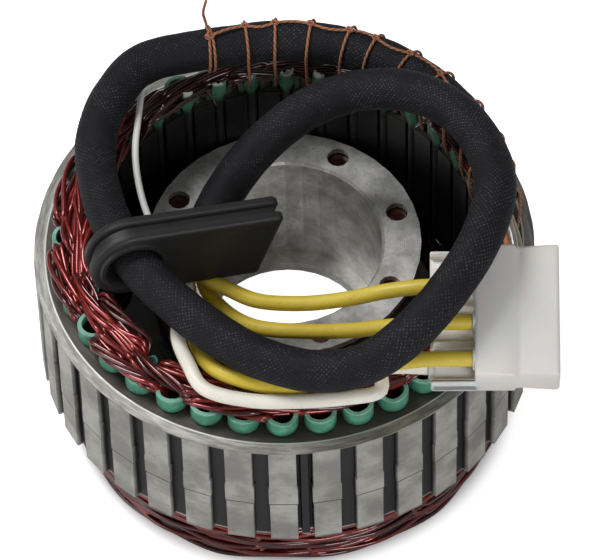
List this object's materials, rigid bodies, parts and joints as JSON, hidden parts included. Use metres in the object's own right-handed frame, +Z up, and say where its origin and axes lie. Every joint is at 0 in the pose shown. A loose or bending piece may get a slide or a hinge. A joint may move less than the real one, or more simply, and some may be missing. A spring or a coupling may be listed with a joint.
{
  "type": "wound stator",
  "caption": "Slotted steel stator core with lined slots, wave windings, a flanged hub with a coil in its bore, and a sleeved lead harness with grommet and plug housing.",
  "frame": {"origin": "on the core's axis at the floor under the lower end windings", "axes": "+Z up along the core's axis, -Y towards the side that the harness loops over, +X towards the plug"},
  "size_m": [0.1205, 0.1158, 0.0925],
  "materials": {
    "core_steel": "brushed",
    "liner_film": "satin",
    "enamel": "glossy",
    "hub_steel": "mottled",
    "coil_enamel": "glossy",
    "sleeve_weave": "woven",
    "lacing_cord": "matte",
    "yellow_skin": "satin",
    "white_skin": "satin",
    "tube_skin": "satin",
    "cream_skin": "satin",
    "orange_skin": "satin",
    "tinned": "tinned",
    "grommet_rubber": "matte",
    "plug_nylon": "translucent satin",
    "tab_tin": "tinned"
  },
  "bodies": {
    "root": {"core": "core_steel", "slot_liner_01": "liner_film", "slot_liner_02": "liner_film", "slot_liner_03": "liner_film", "slot_liner_04": "liner_film", "slot_liner_05": "liner_film", "slot_liner_06": "liner_film", "slot_liner_07": "liner_film", "slot_liner_08": "liner_film", "slot_liner_09": "liner_film", "slot_liner_10": "liner_film", "slot_liner_11": "liner_film", "slot_liner_12": "liner_film", "slot_liner_13": "liner_film", "slot_liner_14": "liner_film", "slot_liner_15": "liner_film", "slot_liner_16": "liner_film", "slot_liner_17": "liner_film", "slot_liner_18": "liner_film", "slot_liner_19": "liner_film", "slot_liner_20": "liner_film", "slot_liner_21": "liner_film", "slot_liner_22": "liner_film", "slot_liner_23": "liner_film", "slot_liner_24": "liner_film", "slot_liner_25": "liner_film", "slot_liner_26": "liner_film", "slot_liner_27": "liner_film", "slot_liner_28": "liner_film", "slot_liner_29": "liner_film", "slot_liner_30": "liner_film", "slot_liner_31": "liner_film", "slot_liner_32": "liner_film", "slot_liner_33": "liner_film", "slot_liner_34": "liner_film", "slot_liner_35": "liner_film", "slot_liner_36": "liner_film", "winding_1": "enamel", "winding_2": "enamel", "winding_3": "enamel", "hub": "hub_steel", "hub_coil": "coil_enamel", "sleeve": "sleeve_weave", "lacing": "lacing_cord", "yellow_front": "yellow_skin", "yellow_middle": "yellow_skin", "yellow_back": "yellow_skin", "white_wire": "white_skin", "lead_tube": "tube_skin", "lead_cream": "cream_skin", "lead_orange": "orange_skin", "lead_tinned": "tinned", "grommet": "grommet_rubber", "plug_housing": "plug_nylon", "contact_tab_1": "tab_tin", "contact_tab_2": "tab_tin", "contact_tab_3": "tab_tin", "contact_tab_4": "tab_tin"}
  },
  "joints": []
}
